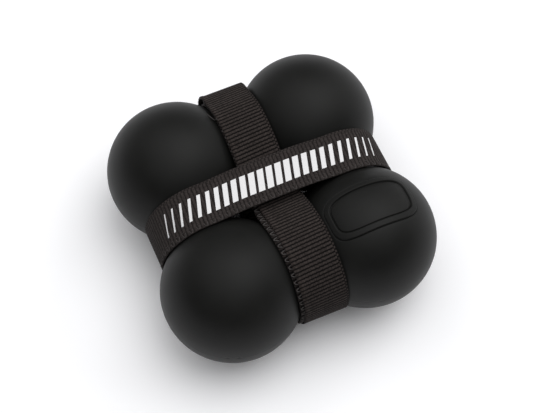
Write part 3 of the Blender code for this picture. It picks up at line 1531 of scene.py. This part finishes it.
@dataclass
class Print:
    """A generic white pattern printed on the outer face of a strap."""

    name: str
    webbing: Webbing
    middle: float
    pattern: BarPattern
    film: float = 0.00008
    dip: float = 0.15
    step: float = 0.00024
    rows: int = 14

    def add_bar(self, bm: bmesh.types.BMesh, layer: Any, place: float, breadth: float) -> None:
        """Adds one bar as a film that follows the ribs, closed below within the webbing.

        Args:
            bm: The mesh.
            layer: The vertex layer that holds how proud the weave stands below each point.
            place: The bar's middle, from the middle of the top.
            breadth: The bar's breadth along the strap.
        """
        columns = max(3, round(breadth / self.step))
        faces_of = []
        buried = self.webbing.thickness / 2
        for outside in (True, False):
            grid = []
            for row in range(self.rows + 1):
                sideways = self.pattern.height * (row / self.rows - 0.5)
                line = []
                for column in range(columns + 1):
                    offset = breadth * (column / columns - 0.5) - self.pattern.slant * sideways
                    distance = self.middle + place + offset
                    length = self.webbing.length_at(distance)
                    section = self.webbing.ribbon.section(distance)
                    height = buried
                    if outside:
                        height = self.webbing.bridged(length, sideways, self.dip) + self.film
                    vert = bm.verts.new(section.at(sideways, height))
                    crest = self.webbing.weave.crest(self.webbing.rib_phase(length, sideways))
                    vert[layer] = crest
                    line.append(vert)
                grid.append(line)
            faces_of.append(grid)
        top, under = faces_of
        for row in range(self.rows):
            for column in range(columns):
                corners = [(row, column), (row, column + 1), (row + 1, column + 1), (row + 1, column)]
                bm.faces.new([top[r][c] for r, c in corners])
                bm.faces.new([under[r][c] for r, c in reversed(corners)])
        border = [(0, c) for c in range(columns)] + [(r, columns) for r in range(self.rows)]
        border += [(self.rows, c) for c in range(columns, 0, -1)]
        border += [(r, 0) for r in range(self.rows, 0, -1)]
        for (r0, c0), (r1, c1) in zip(border, border[1:] + border[:1]):
            bm.faces.new((top[r0][c0], under[r0][c0], under[r1][c1], top[r1][c1]))

    def build(self, material: bpy.types.Material) -> bpy.types.Object:
        """Builds the print.

        Args:
            material: Its finish.

        Returns:
            The print's object.
        """
        bm = bmesh.new()
        layer = bm.verts.layers.float.new(PROUD)
        for place, breadth in self.pattern.bars():
            self.add_bar(bm, layer, place, breadth)
        return add_object(self.name, mesh_of(self.name, bm, WEAVE_CREASE), material)


@dataclass(frozen=True)
class Relief:
    """A bare raised oval border moulded on top of one ball.

    The border is a full oval with its long axis along X, drawn on the plane that touches the
    ball's top and wrapped down onto the ball.
    """

    centre: tuple[float, float] = (0.0012, 0.0010)
    half_length: float = 0.0255
    half_breadth: float = 0.0140
    fullness: float = 4.2
    border: float = 0.0030
    raised: float = 0.00070
    groove: float = 0.00045
    groove_width: float = 0.00034
    wall: float = 0.00026
    loop_step: float = 0.0001
    loops_each_way: int = 8
    inside: float = 0.0011
    outside: float = 0.0012

    def outline(self, azimuth: float, grow: float) -> Vector:
        """Where a ray from the middle meets the oval, grown all round.

        Args:
            azimuth: The ray's direction in radians.
            grow: How far outside the border's outer line, or inside where negative.

        Returns:
            The point in the touching plane, from the middle of the relief.
        """
        cos, sin = math.cos(azimuth), math.sin(azimuth)
        along = abs(cos / (self.half_length + grow)) ** self.fullness
        beside = abs(sin / (self.half_breadth + grow)) ** self.fullness
        reach = (along + beside) ** (-1.0 / self.fullness)
        return Vector((reach * cos, reach * sin))

    def offset(self, grow: float) -> float:
        """Height of the relief.

        Args:
            grow: Distance outside the border's outer line, or inside where negative.

        Returns:
            The height above the ball.
        """
        inner = -self.border
        plateau = ramp(grow, inner - self.wall / 2, self.wall) - ramp(grow, -self.wall / 2, self.wall)
        lift = self.raised * plateau
        for line in (self.wall, inner - self.wall):
            lift -= self.groove * math.exp(-(((grow - line) / self.groove_width) ** 2))
        return lift

    def lines(self) -> list[float]:
        """Lays out the mesh's loops, close together at the border's walls.

        Returns:
            Their distances outside the border's outer line, from the innermost.
        """
        fine = [i * self.loop_step for i in range(-self.loops_each_way, self.loops_each_way + 1)]
        coarse = [-self.border / 2, -self.inside - self.border, self.outside]
        near = {round(edge + step, 7) for edge in (-self.border, 0.0) for step in fine}
        return sorted(near | set(coarse))


@dataclass
class Ball:
    """One moulded rubber ball with its pressed foot, parting line and link sockets."""

    row: Row
    column: Column
    square: BallSquare
    relief: Relief | None = None
    nicks: tuple[float, ...] = ()
    sides: int = 160
    rings: int = 46
    pole: float = 2.0
    relief_until: float = 66.0
    relief_shares: tuple[float, ...] = (0.12, 0.3, 0.5, 0.7, 0.85)
    relief_blend: int = 12
    flash: float = 0.00007
    flash_width: float = 0.28
    flash_level: float = 0.62
    flash_waves: tuple[tuple[float, float, float], ...] = ((0.22, 17.0, 0.0), (0.16, 41.0, 1.0))
    flash_loops: tuple[float, ...] = (0.15, 0.3, 0.6, 1.1)
    flash_spare: float = 1.6
    nick: float = 0.00035
    nick_width: float = 0.9
    nick_height: float = 0.55
    nick_reach: float = 4.0

    @property
    def node(self) -> str:
        """The name of the CAD node that this ball stands for."""
        return f"ball_{self.row.value}_{self.column.value}"

    @property
    def centre(self) -> Vector:
        """The ball's centre.

        Returns:
            The point in world axes.
        """
        half = self.square.half_pitch
        x = half if self.column is Column.RIGHT else -half
        y = half if self.row is Row.BACK else -half
        return Vector((x, y, self.square.level))

    def flash_height(self, polar: float, azimuth: float) -> float:
        """Height of the fine ridge of flash at the parting line, with its nicks.

        Args:
            polar: Angle from the ball's top in radians.
            azimuth: Angle round it in radians.

        Returns:
            The height above the ball.
        """
        off = math.degrees(polar) - 90.0
        uneven = self.flash_level
        for share, waves, phase in self.flash_waves:
            uneven += share * math.sin(azimuth * waves + phase)
        ridge = self.flash * math.exp(-((off / self.flash_width) ** 2)) * uneven
        for nick in self.nicks:
            away = (math.degrees(azimuth) - nick + 180.0) % 360.0 - 180.0
            if abs(away) < self.nick_reach * self.nick_width:
                hollow = (away / self.nick_width) ** 2 + (off / self.nick_height) ** 2
                ridge -= self.nick * math.exp(-hollow)
        return ridge

    def polar_angles(self, first: float) -> list[float]:
        """Polar angles of the loops, close together at the parting line.

        Args:
            first: The angle of the loop that they go on from.

        Returns:
            The angles below it in radians, down to the foot.
        """
        foot = math.pi - math.acos(self.square.level / (self.square.ball_radius - self.flash))
        even = [first + (foot - first) * i / self.rings for i in range(1, self.rings + 1)]
        steps = [-step for step in self.flash_loops] + [0.0] + list(self.flash_loops)
        near = [math.radians(90.0 + step) for step in steps]
        spare = math.radians(self.flash_spare)
        kept = [angle for angle in even if abs(angle - math.pi / 2) > spare]
        return sorted(kept + near)

    def loops(self) -> list[list[Vector]]:
        """All loops of the ball from its top to its foot.

        Returns:
            The points of each loop from the ball's centre.
        """
        radius = self.square.ball_radius - self.flash
        azimuths = [math.tau * i / self.sides for i in range(self.sides)]
        loops = []
        first = math.radians(self.relief_until if self.relief else self.pole)
        if self.relief:
            lines = self.relief.lines()
            for share in self.relief_shares:
                loops.append([self.wrapped(a, lines[0], share) for a in azimuths])
            for grow in lines:
                loops.append([self.wrapped(a, grow, 1.0) for a in azimuths])
            edge = loops[-1]
            circle = [self.direction(first, a) for a in azimuths]
            for i in range(1, self.relief_blend + 1):
                share = i / self.relief_blend
                loops.append([(p.normalized().slerp(c, share)) * radius for p, c in zip(edge, circle)])
        else:
            loops.append([self.direction(first, a) * radius for a in azimuths])
        for polar in self.polar_angles(first):
            loops.append([
                self.direction(polar, a) * (radius + self.flash_height(polar, a)) for a in azimuths
            ])
        return loops

    def direction(self, polar: float, azimuth: float) -> Vector:
        """A unit direction.

        Args:
            polar: Angle from straight up in radians.
            azimuth: Angle round from +X in radians.

        Returns:
            The direction.
        """
        return Vector((
            math.sin(polar) * math.cos(azimuth), math.sin(polar) * math.sin(azimuth), math.cos(polar)
        ))

    def wrapped(self, azimuth: float, grow: float, share: float) -> Vector:
        """A point of the relief, wrapped from the touching plane onto the ball.

        Args:
            azimuth: Its direction from the middle of the relief.
            grow: Which line of the relief it is on.
            share: How far out to that line it is, from 0 to 1.

        Returns:
            The point from the ball's centre.
        """
        flat = self.relief.outline(azimuth, grow) * share + Vector(self.relief.centre)
        polar = flat.length / self.square.ball_radius
        lift = self.relief.offset(grow) if share == 1.0 else 0.0
        heading = math.atan2(flat.y, flat.x)
        return self.direction(polar, heading) * (self.square.ball_radius - self.flash + lift)

    def build(self, material: bpy.types.Material, sockets: Sequence[bpy.types.Object]) -> bpy.types.Object:
        """Builds the ball and cuts its two sockets.

        Args:
            material: Its finish.
            sockets: The cutters of the two links that it holds.

        Returns:
            The ball's object.
        """
        bm = bmesh.new()
        loops = [[bm.verts.new(self.centre + point) for point in loop] for loop in self.loops()]
        top = bm.verts.new(sum((v.co for v in loops[0]), Vector()) / self.sides)
        top.co = self.centre + (top.co - self.centre).normalized() * (self.square.ball_radius - self.flash)
        for k in range(self.sides):
            following = (k + 1) % self.sides
            bm.faces.new((top, loops[0][k], loops[0][following]))
            for upper, lower in zip(loops, loops[1:]):
                bm.faces.new((upper[k], lower[k], lower[following], upper[following]))
        bm.faces.new(loops[-1])
        name = f"moulded_{self.node}"
        ball = add_object(name, mesh_of(name, bm, RUBBER_CREASE), material)
        for socket in sockets:
            cut = ball.modifiers.new(socket.name, "BOOLEAN")
            cut.operation = "DIFFERENCE"
            cut.solver = "EXACT"
            cut.object = socket
        bpy.context.view_layer.update()
        shell = bpy.data.meshes.new_from_object(ball.evaluated_get(bpy.context.evaluated_depsgraph_get()))
        shell.name = name
        ball.modifiers.clear()
        ball.data = shell
        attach(ball, CLUSTER)
        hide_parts(self.node)
        return ball


@dataclass
class Links:
    """The four hidden links: their finish, and the cutters for their sockets."""

    square: BallSquare
    neck_radius: float = 0.0055
    neck_length: float = 0.019
    head_radius: float = 0.009
    head_length: float = 0.005
    head_flare: float = 0.0035
    head_chamfer: float = 0.002
    sides: int = 32
    merged: float = 1e-6

    def profile(self) -> list[tuple[float, float]]:
        """Half of a socket's outline.

        Returns:
            Its points as (radius, distance from the link's middle).
        """
        grow = self.square.clearance
        shoulder = self.neck_length / 2 - grow
        end = self.neck_length / 2 + self.head_flare + self.head_length + self.head_chamfer + grow
        return [
            (self.neck_radius + grow, shoulder),
            (self.head_radius + grow, shoulder + self.head_flare),
            (self.head_radius + grow, end - self.head_chamfer),
            (self.head_radius + grow - self.head_chamfer, end),
            (0.0, end),
        ]

    def cutter(self, side: Row | Column, middle: Vector, axis: Vector) -> bpy.types.Object:
        """One socket cutter.

        Args:
            side: The side of the square it is on.
            middle: The link's middle.
            axis: The link's direction.

        Returns:
            The cutter, which isn't rendered.
        """
        half = self.profile()
        whole = [(radius, -place) for radius, place in reversed(half)] + half
        bm = bmesh.new()
        out = Vector((0, 0, 1))
        out.rotate(Quaternion(axis, math.pi / self.sides))
        verts = [bm.verts.new(middle + out * radius + axis * place) for radius, place in whole]
        edges = [bm.edges.new(pair) for pair in zip(verts, verts[1:])]
        bmesh.ops.spin(
            bm, geom=verts + edges, cent=middle, axis=axis, angle=math.tau, steps=self.sides, use_merge=True
        )
        bmesh.ops.remove_doubles(bm, verts=bm.verts, dist=self.merged)
        bmesh.ops.recalc_face_normals(bm, faces=bm.faces)
        mesh = bpy.data.meshes.new(f"socket_cutter_{side.value}")
        bm.to_mesh(mesh)
        bm.free()
        cutter = bpy.data.objects.new(mesh.name, mesh)
        bpy.context.scene.collection.objects.link(cutter)
        return cutter

    def cutters(self) -> dict[Row | Column, bpy.types.Object]:
        """Makes the four cutters.

        Returns:
            The cutters by the side of the square they are on.
        """
        half, level = self.square.half_pitch, self.square.level
        sides = {
            Row.FRONT: (Vector((0, -half, level)), Vector((1, 0, 0))),
            Row.BACK: (Vector((0, half, level)), Vector((1, 0, 0))),
            Column.LEFT: (Vector((-half, 0, level)), Vector((0, 1, 0))),
            Column.RIGHT: (Vector((half, 0, level)), Vector((0, 1, 0))),
        }
        return {side: self.cutter(side, *place) for side, place in sides.items()}

    def dress(self, material: bpy.types.Material) -> None:
        """Gives the links their finish.

        Args:
            material: The finish.
        """
        for side in (*Row, *Column):
            link = frame["nodes"][f"link_{side.value}"]
            link.data.materials.clear()
            link.data.materials.append(material)


@dataclass(frozen=True)
class StrapFinishes:
    """The materials of one strap."""

    webbing: bpy.types.Material
    yarn: bpy.types.Material
    thread: bpy.types.Material
    hooks: bpy.types.Material
    pile: bpy.types.Material


@dataclass
class Strap:
    """One strap: wound webbing, the end that peels off, its closure tapes and its sewing."""

    name: str
    path: StrapPath
    weave: Weave
    finishes: StrapFinishes
    slot: str
    rests_on: tuple[str, ...]
    chain: KnitChain = KnitChain()
    bend_length: float = 0.006
    pile_stitch_height: float = 0.00055

    @property
    def free_body(self) -> str:
        """The CAD body of the end that peels off."""
        return f"{self.name}_strap_free_end"

    def hang(self, piece: bpy.types.Object) -> bpy.types.Object:
        """Bakes a piece's placement into its mesh; the bend is worked out but not applied."""
        start, end = self.path.bend(self.bend_length)
        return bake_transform(piece)

    def webbing(
        self, part: str, start: float, end: float, sealed: tuple[bool, bool],
        first_length: float = 0.0, knit_until: float = math.inf,
    ) -> Webbing:
        """A stretch of this strap's webbing.

        Args:
            part: What it is called after the strap's name.
            start: Distance along the loop where it starts.
            end: Distance where it ends.
            sealed: Whether each of its ends is a sealed cut.
            first_length: Length laid out before it starts.
            knit_until: Distance up to which its knit edge is sunk under the chain and darkened with painted
                shade.

        Returns:
            The webbing.
        """
        name = f"{self.name}_strap_{part}"
        ribbon, thickness = self.path.webbing(), self.path.thickness
        return Webbing(name, ribbon, self.weave, thickness, start, end, sealed, first_length, knit_until)

    def build_band(self) -> Webbing:
        """Builds the wound webbing with its knit edge.

        Returns:
            The wound webbing.
        """
        covered = self.path.start + self.path.turn
        band = self.webbing("webbing", self.path.start, self.path.root, (True, False), knit_until=covered)
        piece = band.build(self.finishes.webbing)
        threads = [self.chain.tube(band, covered), *self.chain.floats(band, covered)]
        yarn = tubes_object(f"{self.name}_strap_knit_edge", threads, self.finishes.yarn)
        for thing in (piece, yarn):
            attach(thing, CLUSTER)
        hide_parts(f"{self.name}_strap_band")
        return band

    def build_end(self, band: Webbing) -> Webbing:
        """Builds the end that peels off, with its knit edge.

        Args:
            band: The wound webbing that it goes on from.

        Returns:
            The end's webbing.
        """
        root, tip = self.path.root, self.path.tip
        end = self.webbing("closing_end", root, tip, (False, True), float(band.lengths[-1]))
        piece = end.build(self.finishes.webbing)
        covered = tip - 2 * self.weave.sealed_length
        threads = [self.chain.tube(end, covered), *self.chain.floats(end, covered)]
        yarn = tubes_object(f"{self.name}_strap_closing_knit_edge", threads, self.finishes.yarn)
        for thing in (piece, yarn):
            self.hang(thing)
        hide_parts(f"{self.name}_strap_end")
        return end

    def build_tapes(self) -> None:
        """Builds the hooks on the end and the pile on the wound webbing."""
        path, name = self.path, f"{self.name}_strap"
        span = path.hook_span()
        hooks = ClosureTape(f"{name}_hooks", Tape.HOOKS, path.hooks(), span, path.hook_thickness)
        span = path.pile_span()
        pile = ClosureTape(f"{name}_pile", Tape.PILE, path.pile(), span, path.pile_thickness)
        hook_piece = hooks.build(self.finishes.hooks)
        pile_piece = pile.build(self.finishes.pile)
        self.hang(hook_piece)
        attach(pile_piece, CLUSTER)
        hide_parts(f"{name}_hook_patch")
        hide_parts(f"{name}_loop_patch")

    def build_sewing(self) -> None:
        """Builds the stitches that show on the end's outer face and round the pile."""
        path, name = self.path, f"{self.name}_strap"
        outer = Stitching(f"{name}_end_stitches", path.webbing(), path.hook_span(), path.thickness)
        inner = Stitching(f"{name}_pile_stitches", path.pile(), path.pile_span(), self.pile_stitch_height)
        self.hang(outer.build(self.finishes.thread))
        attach(inner.build(self.finishes.thread), CLUSTER)

    def build(self) -> Webbing:
        """Builds the whole strap.

        Returns:
            Its wound webbing, for what is printed on it.
        """
        band = self.build_band()
        self.build_end(band)
        self.build_tapes()
        self.build_sewing()
        LOG.info("%s strap built", self.name)
        return band


@dataclass(frozen=True)
class Lamp:
    """A soft lamp so far away that it lights the whole floor alike."""

    name: str
    toward: Colour
    spread: float
    strength: float


@dataclass(frozen=True)
class Studio:
    """Floor, soft light, world and camera."""

    focal_pixels: float = 1370.5
    image_width: float = 550.0
    sensor_width: float = 36.0
    azimuth: float = -25.17
    elevation: float = 62.97
    roll: float = 1.34
    distance: float = 0.7486
    slide_right: float = 0.002657
    slide_up: float = -0.001502
    floor_size: float = 60.0
    floor_drop: float = 0.00005
    floor_colour: Colour = (0.66, 0.66, 0.67)
    floor_seen: Colour = (1.08, 1.08, 1.10)
    world_colour: Colour = (0.93, 0.96, 1.0)
    world_strength: float = 0.024
    lamps: tuple[Lamp, ...] = (
        Lamp("overhead", (0.30, 0.02, 0.954), 45.0, 0.73),
        Lamp("ceiling", (0.0, 0.0, 1.0), 90.0, 1.78),
        Lamp("right", (0.9, 0.1, 0.42), 60.0, 0.81),
        Lamp("back", (-0.35, 0.75, 0.56), 60.0, 0.34),
        Lamp("back_right", (0.5, 0.6, 0.62), 60.0, 0.16),
    )

    def build_floor(self) -> None:
        """Builds the pale floor. What the camera and reflections see of it is lifted to white."""
        bm = bmesh.new()
        bmesh.ops.create_grid(bm, x_segments=1, y_segments=1, size=self.floor_size / 2)
        mesh = bpy.data.meshes.new("floor")
        bm.to_mesh(mesh)
        bm.free()
        shader = Shader("pale_floor")
        shader.constant(roughness=1.0, specular_ior_level=0.0)
        rays = shader.node("ShaderNodeLightPath")
        seen = shader.math("ADD", rays.outputs["Is Camera Ray"], rays.outputs["Is Glossy Ray"])
        seen = shader.math("ADD", seen, rays.outputs["Is Transmission Ray"], clamp=True)
        shader.feed("Base Color", shader.mix(seen, self.floor_colour, self.floor_seen))
        floor = add_object("floor", mesh, shader.material)
        floor.location.z = -self.floor_drop

    def build_lights(self) -> None:
        """Hangs the soft lamps and lights the room evenly."""
        for lamp in self.lamps:
            light = bpy.data.lights.new(f"{lamp.name}_lamp", "SUN")
            light.angle = math.radians(lamp.spread)
            light.energy = lamp.strength
            hung = bpy.data.objects.new(light.name, light)
            hung.rotation_mode = "QUATERNION"
            hung.rotation_quaternion = Vector(lamp.toward).to_track_quat("Z", "Y")
            bpy.context.scene.collection.objects.link(hung)
        world = bpy.data.worlds.new("studio")
        world.use_nodes = True
        background = world.node_tree.nodes["Background"]
        background.inputs["Color"].default_value = (*self.world_colour, 1.0)
        background.inputs["Strength"].default_value = self.world_strength
        bpy.context.scene.world = world
        bpy.context.scene.view_settings.view_transform = "Standard"

    def build_camera(self, target: Vector) -> None:
        """Places the camera at the photograph's angle.

        Args:
            target: The point that it was fitted about.
        """
        azimuth, elevation, roll = (math.radians(a) for a in (self.azimuth, self.elevation, self.roll))
        level = math.cos(elevation)
        back = Vector((math.sin(azimuth) * level, -math.cos(azimuth) * level, math.sin(elevation)))
        aside = Vector((0, 0, 1)).cross(back).normalized()
        upright = back.cross(aside)
        right = aside * math.cos(roll) + upright * math.sin(roll)
        up = upright * math.cos(roll) - aside * math.sin(roll)
        data = bpy.data.cameras.new("camera")
        data.sensor_width = self.sensor_width
        data.lens = self.focal_pixels / self.image_width * self.sensor_width
        camera = bpy.data.objects.new("camera", data)
        turned = Matrix((right, up, back)).transposed().to_4x4()
        eye = target + back * self.distance + right * self.slide_right + up * self.slide_up
        camera.matrix_world = Matrix.Translation(eye) @ turned
        bpy.context.scene.collection.objects.link(camera)
        bpy.context.scene.camera = camera

    def build(self, target: Vector) -> None:
        """Builds the studio.

        Args:
            target: The point that the camera was fitted about.
        """
        self.build_floor()
        self.build_lights()
        self.build_camera(target)


def clear_startup_objects() -> None:
    """Removes whatever was in the scene before the frame."""
    kept = {thing.name for group in ("nodes", "bodies") for thing in frame[group].values()}
    for thing in list(bpy.data.objects):
        if thing.name not in kept:
            bpy.data.objects.remove(thing)


def main() -> None:
    """Builds the massager piece by piece and reports each one."""
    logging.basicConfig(level=logging.INFO, format="%(message)s")
    clear_startup_objects()
    square = BallSquare()
    plain_weave = Weave()
    printed_weave = Weave(rib_pitch=0.002125, knit_side=Side.HIGH, knit_share=0.6, knit_sunk=0.00004)

    rubber = RubberFinish(
        "ball_rubber", (0.0058, 0.0059, 0.0054), (0.0074, 0.0075, 0.0069), (0.48, 0.52), specular=0.18
    )
    link_rubber = RubberFinish(
        "link_rubber", (0.010, 0.010, 0.010), (0.014, 0.014, 0.014), (0.55, 0.65), specular=0.4
    )
    webbing = WebbingFinish("ribbed_webbing", (0.0465, 0.0372, 0.0342), (0.0010, 0.0008, 0.0008))
    # The printed strap's own webbing tone, with lighter painted shade in its grooves.
    print_ground = WebbingFinish(
        "print_ground_webbing", (0.0415, 0.0345, 0.0328), (0.0050, 0.0041, 0.0039), lit_crest=(0.15, 0.95)
    )
    yarn = FibreFinish("knit_edge_yarn", (0.036, 0.032, 0.031), (0.086, 0.078, 0.076), 0.75)
    # A darker copy of the edge yarn: painted shade for the chain that lies sunk in the printed strap's
    # band.
    shaded_sunk_yarn = FibreFinish("shaded_sunk_edge_yarn", (0.030, 0.026, 0.025), (0.075, 0.067, 0.065), 0.75)
    thread = FibreFinish("sewing_thread", (0.012, 0.011, 0.011), (0.028, 0.025, 0.025), 0.5)
    hooks = FibreFinish("hook_tape", (0.008, 0.008, 0.008), (0.016, 0.016, 0.016), 0.4, specular=0.5)
    pile = FibreFinish("loop_pile", (0.012, 0.012, 0.012), (0.028, 0.027, 0.027), 0.95, sheen=0.4)
    ink = InkFinish("white_print", (0.93, 0.93, 0.94), (0.70, 0.69, 0.70))

    links = Links(square)
    cutters = links.cutters()
    ball_rubber = rubber.material()
    nicks = {
        (Row.FRONT, Column.LEFT): (201.0, 243.0, 252.0, 291.0),
        (Row.FRONT, Column.RIGHT): (244.5, 256.0, 315.0),
        (Row.BACK, Column.LEFT): (181.5,),
        (Row.BACK, Column.RIGHT): (38.0,),
    }
    for (row, column), marks in nicks.items():
        relief = Relief() if (row, column) == (Row.FRONT, Column.RIGHT) else None
        ball = Ball(row, column, square, relief, marks)
        ball.build(ball_rubber, [cutters[row], cutters[column]])
        LOG.info("%s built", ball.node)
    for cutter in cutters.values():
        bpy.data.objects.remove(cutter)
    links.dress(link_rubber.material())
    LOG.info("links dressed")

    finishes = StrapFinishes(*(finish.material() for finish in (webbing, yarn, thread, hooks, pile)))
    under = tuple(f"moulded_ball_{row.value}_{column.value}" for row, column in nicks)
    plain = Strap("plain", PlainPath(square), plain_weave, finishes, "plain_webbing", under)
    plain.build()
    loose = LooseThread(plain.path).build("plain_strap_loose_thread", finishes.yarn)
    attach(loose, CLUSTER)
    LOG.info("loose thread laid")
    sunk_chain = KnitChain(radius=0.00022, lift=-0.9, float_length=0.0016)
    finishes = replace(finishes, webbing=print_ground.material(), yarn=shaded_sunk_yarn.material())
    path = PrintedPath(square)
    printed = Strap("printed", path, printed_weave, finishes, "printed_webbing", under, sunk_chain)
    band = printed.build()
    motif = Print("printed_strap_print", band, path.top_middle, BarPattern()).build(ink.material())
    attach(motif, CLUSTER)
    LOG.info("print laid")

    Studio().build(Vector((0.0, 0.0, square.level)))
    LOG.info("sizes written")


if __name__ == "__main__":
    main()
